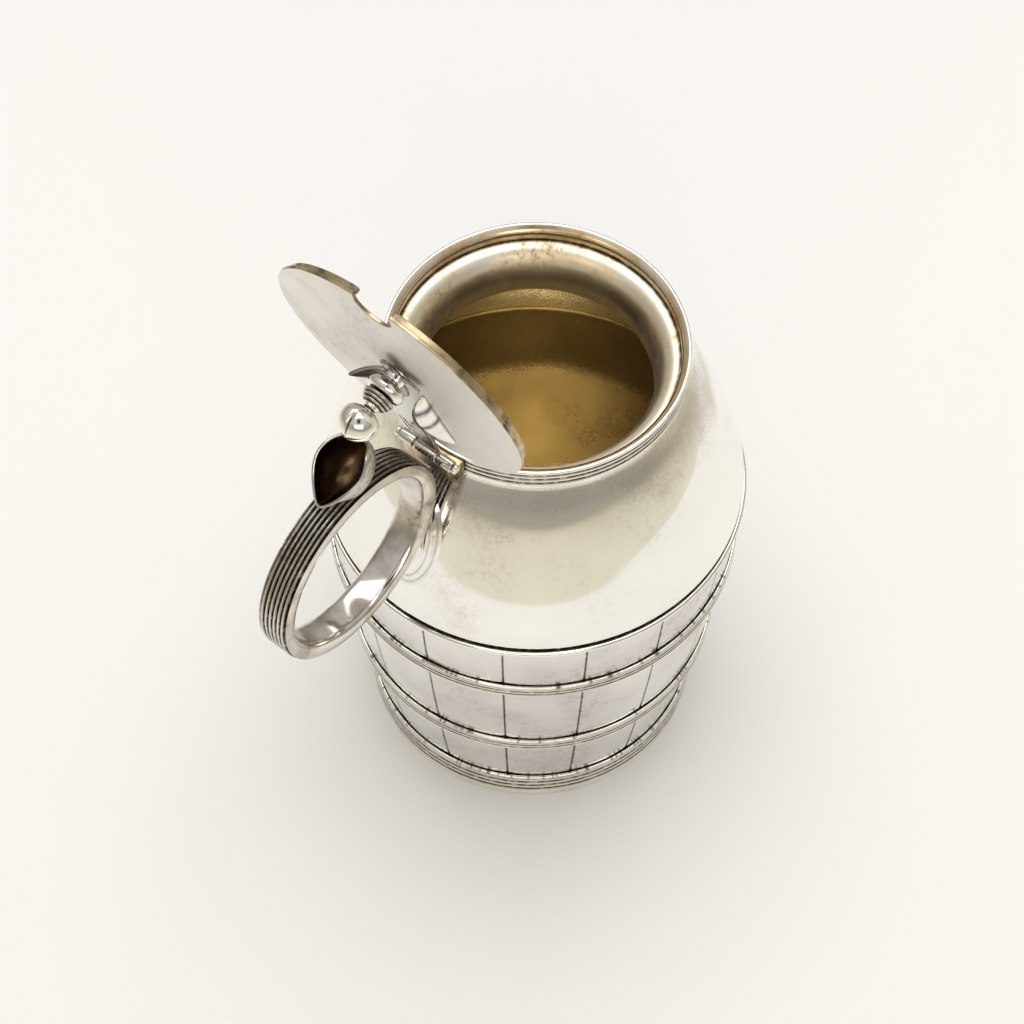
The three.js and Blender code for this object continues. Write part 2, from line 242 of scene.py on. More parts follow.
def piece(name, shape, materials, body, nodes, pose=None, pick=None, solidify=0.0,
          bevel=0.0, subdivide=0, sharp=40.0, film_and_shade_amount=None):
    """Makes one object from a shape and hangs it on the frame.

    pick(segment) gives the place in materials of a face's material, and film_and_shade_amount(vertex)
    gives how thick the dull film colour is there; inside the barrel and dome that colour is painted shade."""
    verts, faces, groove, segment = shape
    mesh = bpy.data.meshes.new(name)
    mesh.from_pydata([Vector(v) * MM for v in verts], [], faces)
    dark = mesh.attributes.new("groove", "FLOAT", "POINT")
    dark.data.foreach_set("value", groove)
    film_and_shade = mesh.attributes.new("film_and_shade_amount", "FLOAT", "POINT")
    film_and_shade.data.foreach_set("value", [film_and_shade_amount(v) if film_and_shade_amount else 0.0 for v in verts])
    for face, where in zip(mesh.polygons, segment):
        face.material_index = int(pick(where)) if pick else 0
    if pose:
        mesh.transform(Matrix.Scale(MM, 4) @ pose @ Matrix.Scale(1 / MM, 4))
    work = bmesh.new()
    work.from_mesh(mesh)
    bmesh.ops.remove_doubles(work, verts=work.verts, dist=1e-7)
    bmesh.ops.recalc_face_normals(work, faces=work.faces)
    work.to_mesh(mesh)
    work.free()
    mesh.shade_smooth()
    mesh.set_sharp_from_angle(angle=math.radians(sharp))
    obj = bpy.data.objects.new(name, mesh)
    bpy.context.scene.collection.objects.link(obj)
    for material in materials:
        mesh.materials.append(material)
    soften(obj, solidify, bevel, subdivide)
    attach(obj, body)
    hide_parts(*nodes)
    return obj


def extruded(outline, low, high):
    """Upright prism on an anticlockwise (x, y) outline."""
    n = len(outline)
    verts = [(x, y, low) for x, y in outline] + [(x, y, high) for x, y in outline]
    faces = [tuple(reversed(range(n))), tuple(range(n, 2 * n))]
    faces += [(i, (i + 1) % n, n + (i + 1) % n, n + i) for i in range(n)]
    return verts, faces, [0.0] * (2 * n), [1, 0] + [2] * n


# ---- materials ------------------------------------------------------------------------------


def ramp(tree, value, stops):
    """Colour by value; stops are (value, colour) pairs in rising order."""
    node = tree.nodes.new("ShaderNodeValToRGB")
    elements = node.color_ramp.elements
    while len(elements) < len(stops):
        elements.new(0.5)
    for element, (place, colour) in zip(elements, stops):
        element.position = place
        element.color = (*colour, 1.0)
    tree.links.new(value, node.inputs["Fac"])
    return node.outputs["Color"]


def noise_of(tree, coordinates, scale, detail, stretch=None):
    """Noise with features about 1/scale metres across, squeezed by stretch along each axis."""
    if stretch:
        mapping = tree.nodes.new("ShaderNodeMapping")
        mapping.inputs["Scale"].default_value = stretch
        tree.links.new(coordinates, mapping.inputs["Vector"])
        coordinates = mapping.outputs["Vector"]
    node = tree.nodes.new("ShaderNodeTexNoise")
    node.inputs["Scale"].default_value = scale
    node.inputs["Detail"].default_value = detail
    tree.links.new(coordinates, node.inputs["Vector"])
    return node.outputs["Fac"]


def mixed(tree, factor, first, second):
    """Colour mix; each input is a socket or a colour."""
    node = tree.nodes.new("ShaderNodeMix")
    node.data_type = "RGBA"
    for index, value in ((0, factor), (6, first), (7, second)):
        if isinstance(value, bpy.types.NodeSocket):
            tree.links.new(value, node.inputs[index])
        else:
            node.inputs[index].default_value = (*value, 1.0) if index else value
    return node.outputs[2]


def maths(tree, operation, first, second=0.0, clamp=False):
    node = tree.nodes.new("ShaderNodeMath")
    node.operation = operation
    node.use_clamp = clamp
    for index, value in enumerate((first, second)):
        if isinstance(value, bpy.types.NodeSocket):
            tree.links.new(value, node.inputs[index])
        else:
            node.inputs[index].default_value = value
    return node.outputs[0]


def attribute_of(tree, name):
    node = tree.nodes.new("ShaderNodeAttribute")
    node.attribute_name = name
    return node.outputs["Fac"]


def grey_ramp(tree, value, low, high, dark=0.0, light=1.0):
    return ramp(tree, value, [(low, (dark,) * 3), (high, (light,) * 3)])


def bump(tree, height, strength, distance, under=None):
    node = tree.nodes.new("ShaderNodeBump")
    node.inputs["Strength"].default_value = strength
    node.inputs["Distance"].default_value = distance
    tree.links.new(height, node.inputs["Height"])
    if under:
        tree.links.new(under, node.inputs["Normal"])
    return node.outputs["Normal"]


def worn_metal(name, bright, dull, tarnish_and_shade, rough, spots=0.3, scratches=0.35, lines=1.0, wave=0.2,
               film_and_shade=(0.62, 0.57, 0.51), cloud_scale=70.0, patchiness=4.0):
    """Polished metal: cloudy handling marks, hairline scratches, specks of tarnish, a dull film colour
    where the mesh's film_and_shade_amount value is high (painted shade on the gilding inside the barrel
    and dome), and a dark colour where its groove value is high: tarnish, and also painted shade on the lip's
    outer edge and painted reflections in the bud's folds and on the thumb lift's bands.

    rough is the roughness of the clearest and the cloudiest places, lines strengthens the dark in
    grooves, and patchiness is how much noise breaks up the film."""
    material = bpy.data.materials.new(name)
    material.use_nodes = True
    tree = material.node_tree
    shader = tree.nodes["Principled BSDF"]
    shader.inputs["Metallic"].default_value = 1.0
    place = tree.nodes.new("ShaderNodeTexCoord").outputs["Object"]
    cloud = noise_of(tree, place, cloud_scale, 4.0)
    speck = noise_of(tree, place, 900.0, 4.0)
    grain = noise_of(tree, place, 2600.0, 2.0)
    hair = noise_of(tree, place, 420.0, 3.0, stretch=(1.0, 1.0, 16.0))
    hair_across = noise_of(tree, place, 420.0, 3.0, stretch=(14.0, 3.0, 1.0))
    ripple = noise_of(tree, place, 30.0, 1.0)

    colour = mixed(tree, grey_ramp(tree, cloud, 0.36, 0.66), bright, dull)
    marks = maths(tree, "MULTIPLY", grey_ramp(tree, cloud, 0.5, 0.66), grey_ramp(tree, speck, 0.5, 0.68))
    marks = maths(tree, "MULTIPLY", marks, spots)
    colour = mixed(tree, marks, colour, tarnish_and_shade)
    patches = noise_of(tree, place, 48.0, 5.0)
    patchy = maths(tree, "ADD", attribute_of(tree, "film_and_shade_amount"), maths(tree, "MULTIPLY", patches, patchiness))
    patchy = maths(tree, "ADD", patchy, maths(tree, "MULTIPLY", grain, 0.9))
    patchy = maths(tree, "SUBTRACT", patchy, 0.5 * patchiness + 0.45)
    film_and_shade_mask = grey_ramp(tree, maths(tree, "MULTIPLY", patchy, 0.5), 0.31, 0.59, 0.0, 0.8)
    colour = mixed(tree, film_and_shade_mask, colour, film_and_shade)
    grooved = maths(tree, "MULTIPLY", attribute_of(tree, "groove"), lines, clamp=True)
    grooved = maths(tree, "MULTIPLY", grooved, grey_ramp(tree, speck, 0.32, 0.52, 0.6, 1.0))
    colour = mixed(tree, grooved, colour, [c * 0.13 for c in tarnish_and_shade])
    tree.links.new(colour, shader.inputs["Base Color"])

    low, high = rough
    roughness = grey_ramp(tree, cloud, 0.35, 0.68, low, high)
    for extra, weight in ((grooved, 0.3), (marks, 0.3), (film_and_shade_mask, 0.3)):
        roughness = maths(tree, "ADD", roughness, maths(tree, "MULTIPLY", extra, weight), clamp=True)
    tree.links.new(roughness, shader.inputs["Roughness"])

    fine = bump(tree, maths(tree, "ADD", hair, hair_across), scratches, 0.00001)
    tree.links.new(bump(tree, ripple, wave, 0.0004, fine), shader.inputs["Normal"])
    return material


SILVER = worn_metal("silver", (0.93, 0.92, 0.88), (0.87, 0.85, 0.80), (0.40, 0.34, 0.25), (0.05, 0.12))
DOME_SILVER = worn_metal("dome silver", (0.94, 0.93, 0.89), (0.90, 0.885, 0.84), (0.45, 0.38, 0.29),
                         (0.0, 0.035), spots=0.25, scratches=0.06, wave=0.1)
STAVE_SILVER = worn_metal("stave silver", (0.88, 0.86, 0.83), (0.70, 0.68, 0.66), (0.38, 0.33, 0.29),
                          (0.12, 0.24), spots=0.4)
HOOP_SILVER = worn_metal("hoop silver", (0.94, 0.92, 0.85), (0.84, 0.81, 0.72), (0.30, 0.25, 0.17),
                         (0.10, 0.2))
RING_SILVER = worn_metal("ring silver", (0.80, 0.77, 0.70), (0.46, 0.42, 0.35), (0.24, 0.20, 0.15),
                         (0.12, 0.26), spots=0.8, lines=1.2, film_and_shade=(0.15, 0.12, 0.08))
BAND_SILVER = worn_metal("band silver", (0.80, 0.76, 0.70), (0.50, 0.45, 0.39), (0.33, 0.26, 0.20),
                         (0.05, 0.20), spots=1.0, cloud_scale=230.0)
# Painted reflection: this silver is painted dark because the calyx leaves mirror dark surroundings; the
# strap uses it too.
DARK_SILVER = worn_metal("dark silver", (0.40, 0.37, 0.33), (0.18, 0.16, 0.13), (0.08, 0.06, 0.05),
                         (0.14, 0.3), spots=0.8, cloud_scale=260.0)
LID_SILVER = worn_metal("lid silver", (0.92, 0.91, 0.88), (0.85, 0.83, 0.80), (0.55, 0.50, 0.46),
                        (0.54, 0.64), wave=0.1)
GILT = worn_metal("gilt", (0.76, 0.65, 0.42), (0.64, 0.53, 0.32), (0.30, 0.22, 0.12), (0.18, 0.30),
                  spots=0.25, scratches=1.0, film_and_shade=(0.33, 0.24, 0.10), patchiness=0.8)
PALE_GILT = worn_metal("pale gilt", (0.96, 0.91, 0.78), (0.88, 0.77, 0.57), (0.55, 0.32, 0.12), (0.32, 0.44),
                       spots=0.9, cloud_scale=130.0)
STAINED_GILT = worn_metal("stained gilt", (0.90, 0.80, 0.61), (0.70, 0.51, 0.30), (0.34, 0.18, 0.06),
                          (0.16, 0.3), spots=1.0, cloud_scale=150.0)
BROWN_GILT = worn_metal("brown gilt", (0.64, 0.52, 0.31), (0.21, 0.16, 0.10), (0.07, 0.05, 0.03),
                        (0.26, 0.42), spots=1.0, cloud_scale=330.0)
DARK_HOLLOW = worn_metal("dark hollow", (0.16, 0.10, 0.05), (0.02, 0.015, 0.011), (0.01, 0.008, 0.006),
                         (0.22, 0.4), spots=0.8, cloud_scale=200.0)


# ---- barrel ---------------------------------------------------------------------------------


def wall_radius(z):
    """The wall widens upwards and bulges slightly, as staves do."""
    h = z - DATUM
    return 28.345 + 0.1733 * h - 0.0008 * h * h


def base_disc():
    profile = plain([(0, 0), (DISC_R - 0.2, 0), (DISC_R, 0.2), (DISC_R, DISC_TOP), (0, DISC_TOP)])
    piece("floor", turned(profile), [GILT], "pot", ["base_disc"])


def foot():
    inner = DISC_R + 0.1
    top = FLANGE_TOP
    flange = plain([
        (inner, 0), (FOOT_R - 0.3, 0), (FOOT_R - 0.06, 0.2), (FOOT_R, 0.55), (FOOT_R - 0.03, 0.95),
        (FOOT_R - 0.2, top - 0.25), (FOOT_R - 0.5, top - 0.04), (wall_radius(top) + HOOP_PROUD, top),
    ])
    flange += [(wall_radius(top) + HOOP_PROUD - 0.15, top, 1.0), (inner, top, 1.0)]
    piece("flange", turned(flange), [HOOP_SILVER], "pot", ["foot_flange"])
    band("hoop_foot", "foot_hoop", 4)


def band(name, node, count):
    """Reeded hoop. From the top: a dark crease at the wall, a bright fillet, then fine reeds."""
    low, high = span(node)[0].z, span(node)[1].z
    top_r = wall_radius(high) + HOOP_PROUD
    foot_r = top_r + 0.1
    fillet = high - HOOP_FILLET
    profile = [(wall_radius(low) + 0.05, low, 1.0), (foot_r - 0.3, low, 0.7)]
    profile += reeds((foot_r, low + 0.05), (top_r, fillet), count, 0.32)
    profile += plain([(top_r, fillet + 0.08), (top_r + 0.02, high - 0.25), (top_r - 0.1, high - 0.08),
                      (top_r - 0.25, high)])
    profile += [(wall_radius(high) + 0.17, high - 0.02, 0.1), (wall_radius(high) + 0.12, high - 0.1, 1.0),
                (wall_radius(high) + 0.05, high - 0.2, 1.0)]
    chance = random.Random(node)
    marked = {k for k in range(HOOP_COLUMNS) if chance.random() < SPECK_SHARE}

    def specks(a, _, z):
        """Short black marks where tarnish has gathered on the upper edge."""
        on_edge = z > high - 0.4 and round(a / TURN * HOOP_COLUMNS) % HOOP_COLUMNS in marked
        return 0.0, 0.75 if on_edge else 0.0

    piece(name, turned(profile, carve=specks, steps=HOOP_COLUMNS), [HOOP_SILVER], "pot",
          [node], sharp=50)


def barrel():
    first = math.pi + STAVE_TURN
    pitch = TURN / STAVES
    near = [d / 32.0 for d in (-0.5, -ENGRAVED, -ENGRAVED / 2, 0.0, ENGRAVED / 2, ENGRAVED, 0.5)]
    between = [pitch * k / 9 for k in range(1, 9)]
    angles = sorted((first + pitch * line + d) % TURN for line in range(STAVES) for d in near + between)

    def carve(a, r, z):
        """Slightly crowned staves with an engraved line between them, on the outside only."""
        away = ((a - first + pitch / 2) % pitch) - pitch / 2
        if r < wall_radius(z) - WALL_T / 2:
            return 0.0, 0.0
        distance = abs(away) * r
        cut = max(0.0, 1 - distance / ENGRAVED)
        crown = 0.10 * (abs(math.sin(math.pi * away / pitch)) ** 0.5) - 0.10
        return crown - 0.16 * cut, min(1.0, 1.6 * cut)

    def film_and_shade_amount(v):
        """Painted shade: the dark film colour on the gilding above PAINTED_SHADE_LOW, where little light
        reaches inside; none on the outside.
        """
        if math.hypot(v[0], v[1]) > wall_radius(v[2]) - 0.6:
            return 0.0
        return max(0.0, min(1.3, (v[2] - PAINTED_SHADE_LOW) / 5.0))

    rows = 14
    heights = [WALL_LOW + (WALL_HIGH - WALL_LOW) * i / rows for i in range(rows + 1)]
    outside = [(wall_radius(z), z) for z in heights]
    inside = [(r - WALL_T, z) for r, z in reversed(outside)]
    piece("staves", turned(plain(outside + inside), angles, carve), [STAVE_SILVER, GILT], "pot",
          ["barrel_wall"], pick=lambda j: j > rows, sharp=60, film_and_shade_amount=film_and_shade_amount)


def hoops():
    band("hoop_band_lower", "hoop_lower", 3)
    band("hoop_band_upper", "hoop_upper", 3)


def shoulder_bead():
    """Bright bead under the dark groove where the dome meets the wall."""
    low, high = WALL_HIGH + 0.02, span("shoulder_wire")[1].z
    reach = span("shoulder_wire")[1].x
    middle, half = (low + high) / 2, (high - low) / 2
    inside = wall_radius(WALL_HIGH) - WALL_T
    deep = half * 0.8
    profile = [(inside, low, 0.5)] + plain(half_circle(reach - deep, middle, deep, half, 10))
    profile += [(reach - 0.72, high - 0.03, 1.0), (inside, high, 0.5), (inside, middle, 0.0)]
    edge = len(profile) - 2
    piece("bead", turned(profile), [HOOP_SILVER, GILT], "pot", ["shoulder_wire"],
          pick=lambda j: j >= edge)


# Outside of the dome from the shoulder to the neck, as in the CAD model but smooth.
DOME = [(r, h + DATUM) for r, h in through([
    (35.55, 62.05), (35.45, 63.2), (35.0, 66), (33.8, 70), (32.1, 75), (30.3, 80), (28.6, 84),
    (26.6, 88), (25.0, 90.6), (24.15, 92.1), (23.9, 93.2),
])]


def dome_radius(z):
    for (r0, z0), (r1, z1) in zip(DOME, DOME[1:]):
        if z0 <= z <= z1:
            return r0 + (r1 - r0) * (z - z0) / (z1 - z0)
    return DOME[0][0] if z < DOME[0][1] else DOME[-1][0]


def dome():
    low = DOME_LOW
    groove = [(34.5, low, 1.0), (35.2, low, 1.0), (35.1, low + 0.45, 1.0), (35.3, low + 0.65, 0.9),
              (35.48, low + 0.85, 0.35)]
    outside = groove + plain(DOME)
    inside = [(r, h + DATUM) for r, h in through([
        (22.8, 93.2), (23.4, 91.0), (25.5, 87.5), (27.6, 83.5), (31.0, 74.7), (33.7, 66.5),
        (34.5, 61.3)], 4)]
    edge = len(outside)

    def film_and_shade_amount(v):
        """Painted shade inside, where the dome's underside gets little light; outside, darker and rougher
        below the neck, most away from the handle.
        """
        if math.hypot(v[0], v[1]) < dome_radius(v[2]) - 0.6:
            return 0.9
        away = 0.5 + 0.5 * math.cos(math.atan2(v[1], v[0]) + 0.7)
        return max(0.0, min(1.0, (v[2] - NECK_Z + 7.5 + 11.0 * away) / 12.0))

    piece("dome", turned(outside + plain(inside), steps=192), [DOME_SILVER, GILT], "pot",
          ["shoulder_dome"], pick=lambda j: j >= edge, sharp=50, film_and_shade_amount=film_and_shade_amount)


def collar():
    """Reeded outside, rounded lip and the stained gilt recess that the lid's bezel drops into."""
    low = COLLAR_LOW
    profile = [(REBATE_R, low, 0.4), (24.0, low, 1.0)]
    profile += reeds((24.62, low + 0.1), (24.62, LIP_Z - 0.95), 3, 0.34)
    profile += [(24.3, LIP_Z - 0.85, 1.0), (LIP_R - 0.12, LIP_Z - 0.72, 0.3)]
    profile += plain([(LIP_R, LIP_Z - 0.5), (LIP_R, LIP_Z - 0.25), (LIP_R - 0.12, LIP_Z - 0.06),
                      (LIP_R - 0.32, LIP_Z), (LIP_R - 0.5, LIP_Z - 0.06)])
    rim = len(profile) - 1
    profile += plain([(REBATE_R + 0.45, LIP_Z - 0.55), (REBATE_R + 0.1, LIP_Z - 0.9)], 0.05)
    profile += [(REBATE_R, LIP_Z - 1.3, 0.1), (REBATE_R, LEDGE_Z + 0.3, 0.3), (REBATE_R, LEDGE_Z, 0.8)]

    def painted_shade_rim(a, r, z):
        """Painted shade: a dark line on the lip's outer edge, strongest about opposite the handle, on the
        side away from the camera.
        """
        on_rim = r > LIP_R - 0.15 and z > LIP_Z - 0.6
        return 0.0, max(0.0, min(0.9, 1.6 * math.cos(a - 0.5))) if on_rim else 0.0

    piece("collar", turned(profile, carve=painted_shade_rim, steps=192), [HOOP_SILVER, STAINED_GILT], "pot",
          ["lip_collar"], pick=lambda j: j >= rim)


def funnel():
    """The mouth's inside: a quarter-round sweep down from the ledge to a short throat."""
    start = REBATE_R - 0.6
    quarter = []
    for i in range(17):
        a = math.pi / 2 * i / 16
        quarter.append((start - (start - THROAT_R) * math.sin(a),
                        THROAT_TOP + (LEDGE_Z - THROAT_TOP) * math.cos(a)))
    profile = [(REBATE_R - 0.1, LEDGE_Z - 0.9, 0.0), (REBATE_R - 0.1, LEDGE_Z, 1.0),
               (start + 0.15, LEDGE_Z + 0.02, 0.4)]
    profile += plain(quarter + [
        (THROAT_R, FUNNEL_LOW + 0.15), (THROAT_R + 0.2, FUNNEL_LOW), (THROAT_R + 0.8, FUNNEL_LOW),
        (THROAT_R + 0.9, THROAT_TOP + 2), (THROAT_R + 1.3, THROAT_TOP + 4.5),
        (THROAT_R + 2.3, LEDGE_Z - 1.1),
    ])
    piece("funnel", turned(profile, steps=192), [PALE_GILT], "pot", ["mouth_funnel"])


# ---- hinge ----------------------------------------------------------------------------------


def rounded_bar(radius, half, round_off):
    """Closed lathe profile of a bar with softened ends, about its own centre."""
    ends = [(radius - round_off + round_off * math.sin(a), half - round_off + round_off * math.cos(a))
            for a in (math.pi / 2 * i / 4 for i in range(5))]
    lower = [(r, -z) for r, z in ends]
    return plain([(0, -half)] + lower + list(reversed(ends)) + [(0, half)])


def knuckle(name, node, body, pose=None):
    low, high = span(node)
    y0, y1 = low.y, high.y
    centre = Vector((HINGE_AT.x, (y0 + y1) / 2, HINGE_AT.z))
    shape = about_y(turned(rounded_bar(KNUCKLE_R, (y1 - y0) / 2, 0.22), steps=40), centre)
    piece(name, shape, [RING_SILVER], body, [node], pose=pose)


def hinge():
    knuckle("knuckle_left", "hinge_knuckle_left", "pot")
    knuckle("knuckle_right", "hinge_knuckle_right", "pot")
    knuckle("knuckle_lid", "lid_knuckle", "lid")
    for name, node in (("cap_left", "pin_cap_left"), ("cap_right", "pin_cap_right")):
        low, high = span(node)
        centre = (low + high) / 2
        half = (high.y - low.y) / 2
        shape = about_y(turned(rounded_bar(PIN_CAP_R, half, 0.36), steps=32), centre)
        piece(name, shape, [SILVER], "pot", [node])


def bracket():
    """Block that carries the hinge, hollowed on one side to fit the collar."""
    low, high = span("hinge_bracket")
    reach = LIP_R + 0.06
    arc = []
    for i in range(13):
        y = low.y + (high.y - low.y) * i / 12
        arc.append((-math.sqrt(reach * reach - y * y), y))
    outline = [(low.x, high.y), (low.x, low.y)] + arc
    piece("bracket", extruded(outline, low.z, high.z), [BROWN_GILT], "pot", ["hinge_bracket"],
          bevel=0.22, sharp=30)


# ---- ring handle ----------------------------------------------------------------------------


def ring_handle():
    half = RING_HALF
    bore = RING_R - 2.85
    outer = plain([(bore + 1.2, -half), (RING_R - 0.9, -half), (RING_R - 0.35, -half + 0.15)])
    outer += reeds((RING_R - 0.1, -half + 0.45), (RING_R - 0.1, half - 0.45), 6, 0.45, samples=9)
    outer += plain([(RING_R - 0.35, half - 0.15), (RING_R - 0.9, half), (bore + 1.2, half)])
    rounding = [(bore + 0.45, half - 0.12), (bore + 0.12, half - 0.5), (bore, half - 1.1)]
    inner = plain(rounding + [(bore, 0.0)] + [(r, -y) for r, y in reversed(rounding)])

    def film_and_shade_amount(v):
        """Dark film on the upper part of the ring, where a finger seldom rubs it."""
        return max(0.0, min(1.2, (v[2] - RING_AT.z - 4.0) / 8.0))

    piece("ring", about_y(turned(outer + inner), RING_AT), [RING_SILVER, BAND_SILVER], "pot",
          ["ring_handle"], pick=lambda j: j < 2 or j > len(outer) - 4, film_and_shade_amount=film_and_shade_amount)


def pad_on_dome(name, node, half_width, half_height, heights):
    """Oval pad that follows the dome; heights gives its thickness from the middle to the edge."""
    steps = len(heights) - 1

    def point(s, t):
        a = TURN * t
        z = PAD_Z + s * half_height * math.sin(a)
        y = s * half_width * math.cos(a)
        r = dome_radius(z)
        x = -math.sqrt(r * r - y * y)
        slope = dome_radius(z + 0.5) - dome_radius(z - 0.5)
        normal = Vector((x / r, y / r, -slope)).normalized()
        at = s * steps
        k = min(int(at), steps - 1)
        height = heights[k] + (heights[k + 1] - heights[k]) * (at - k)
        dark = 0.9 if s > 0.97 else 0.35 if 0.82 < s < 0.9 else 0.0
        return Vector((x, y, z)) + normal * height, dark

    piece(name, grid(33, 72, point, closed=True), [SILVER], "pot", [node], sharp=60)


def pads():
    pad_on_dome("pad_low", "handle_pad_step", 5.2, 9.6, (0.45, 0.46, 0.47, 0.48, 0.5, 0.5, 0.42, -0.1))
    pad_on_dome("pad_high", "handle_pad", 3.9, 8.0, (1.02, 1.02, 1.0, 0.98, 1.0, 0.95, 0.8, 0.35))


def thumb_rest():
    """Hollow leaf that opens upwards: a cup whose rim height changes around it, with a pointed tip."""
    low, high = REST_LOW, REST_HIGH
    centre = Vector(((low.x + high.x) / 2, 0.0, low.z + 5.5))
    reach = Vector(((high.x - low.x) / 2 - 0.3, (high.y - low.y) / 2 - 0.3, 5.25))

    def point(s, t):
        a = TURN * t
        c = math.cos(a)
        ragged = 3.0 * math.sin(5 * a) * (1 - c * c)
        rim = math.radians(112 + 41 * c - 27 * c * c + ragged)
        bend = s * rim
        tip = 1 + 0.42 * max(0.0, -c) ** 5 * s
        narrowing = 1 - 0.30 * max(0.0, -c) ** 1.5
        at = Vector((
            centre.x + reach.x * math.sin(bend) * c * tip,
            centre.y + reach.y * math.sin(bend) * math.sin(a) * narrowing,
            centre.z - reach.z * math.cos(bend),
        ))
        vein = max(0.0, 1 - abs(math.sin(a)) * 14 * s) * (1 if c < 0 else 0.4)
        return at, 0.3 * vein

    shape = grid(28, 72, point, closed=True)
    obj = piece("hollow_leaf", shape, [RING_SILVER, DARK_HOLLOW], "pot", ["thumb_rest"],
                solidify=0.5, subdivide=1, film_and_shade_amount=lambda v: 0.75)
    obj.modifiers["thickness"].material_offset = 1
    low, high = span("thumb_rest_foot")
    profile = plain([(0, low.z), (1.9, low.z), (1.7, low.z + 0.3), (1.75, high.z), (0, high.z)])
    foot_shape = shifted(turned(profile, steps=32), RING_AT.x)
    piece("leaf_foot", foot_shape, [RING_SILVER], "pot", ["thumb_rest_foot"])


# ---- lid ------------------------------------------------------------------------------------


def notched_circle(radius, steps=150):
    """Outline of a disc with the spoon notch cut in its +X side, anticlockwise."""
    start = math.asin(NOTCH_HALF / radius)
    outline = []
    for i in range(steps + 1):
        a = start + (TURN - 2 * start) * i / steps
        outline.append((radius * math.cos(a), radius * math.sin(a)))
    flat = LID_R - NOTCH_DEPTH + NOTCH_HALF
    for i in range(17):
        a = -math.pi / 2 - math.pi * i / 16
        outline.append((flat + NOTCH_HALF * math.cos(a), NOTCH_HALF * math.sin(a)))
    return outline


def plate():
    outline = notched_circle(LID_R)
    piece("plate", extruded(outline, LID_TOP - LID_T, LID_TOP), [LID_SILVER, GILT, BROWN_GILT], "lid",
          ["lid_plate"], pose=LID_POSE, bevel=0.12, sharp=30, pick=lambda where: where)


def bezel():
    """Gilt wall under the lid that drops into the lip's recess, open at the spoon notch."""
    top = LID_TOP - LID_T - 0.04
    radius, thick, height = 22.1, 0.9, 0.95
    start = math.asin((NOTCH_HALF + 0.05) / radius)

    def point(s, t):
        a = start + (TURN - 2 * start) * s
        corner = int(round(t * 4)) % 4
        r = radius - (thick if corner in (0, 3) else 0)
        z = top - (height if corner in (0, 1) else 0)
        return Vector((r * math.cos(a), r * math.sin(a), z)), 0.0

    verts, faces, groove, segment = grid(151, 4, point, closed=True)
    last = len(verts) - 4
    faces += [(0, 1, 2, 3), (last + 3, last + 2, last + 1, last)]
    segment += [0, 0]
    piece("bezel", (verts, faces, groove, segment), [BROWN_GILT], "lid", ["lid_bezel"],
          pose=LID_POSE, bevel=0.12, sharp=30)


def strap():
    """Tongue that runs from the hinge on to the lid, pointed at its far end."""
    side = [(HINGE_AT.x + 0.9, -2.2), (-21.5, -2.2), (-19.0, -1.6)]
    outline = side + [(-17.6, 0.0)] + [(x, -y) for x, y in reversed(side)]
    piece("strap", extruded(outline, LIP_Z + 0.1, LIP_Z + 0.8), [DARK_SILVER], "lid",
          ["lid_strap"], pose=LID_POSE, bevel=0.2, sharp=30)


def nut():
    under = LID_TOP - LID_T - 0.1
    profile = plain([(0, under - 0.8), (0.7, under - 0.75), (1.4, under - 0.5), (1.9, under - 0.15),
                     (2.0, under), (0, under)])
    piece("nut", turned(profile, steps=40), [GILT], "lid", ["finial_nut"], pose=LID_POSE)


def leaf(name, node, turn, tip, rise, curl):
    """Pointed calyx leaf with a raised midrib. tip is its reach, rise its height at the tip."""
    root = 1.6

    def point(s, t):
        across = 2 * t - 1
        out = root + (tip - root) * s
        width = 2.1 * math.sin(math.pi * min(1.0, 0.22 + 0.78 * s)) ** 0.8 * (1 - 0.15 * s)
        ridge = 0.35 * (1 - abs(across)) * (1 - s)
        height = 0.55 + rise * s ** curl + ridge + 0.2 * across ** 2 * width
        vein = max(0.0, 1 - abs(across) * 7) * 0.6
        x, y = out, across * width
        return Vector((x * math.cos(turn) - y * math.sin(turn), x * math.sin(turn) + y * math.cos(turn),
                       LID_TOP + height)), vein

    # The leaves' dark silver is a painted dark reflection.
    piece(name, grid(16, 15, point), [DARK_SILVER], "lid", [node], pose=LID_POSE, solidify=0.3,
          subdivide=1)


def calyx():
    leaf("leaf_notch", "calyx_leaf_notch", 0.0, 6.6, 0.8, 2.0)
    leaf("leaf_right", "calyx_leaf_right", math.radians(-64), 6.0, 0.6, 2.0)
    leaf("leaf_hinge", "calyx_leaf_hinge", math.pi, 6.0, 0.6, 2.0)
    leaf("leaf_left", "calyx_leaf_left", math.pi / 2, 6.2, 4.0, 1.3)


def stem_part(name, node, profile, material, steps):
    """One turned part of the finial; its profile's heights are measured from the lid's top."""
    raised = [(r, LID_TOP + z, dark) for r, z, dark in profile]
    piece(name, turned(raised, steps=steps), [material], "lid", [node], pose=LID_POSE)


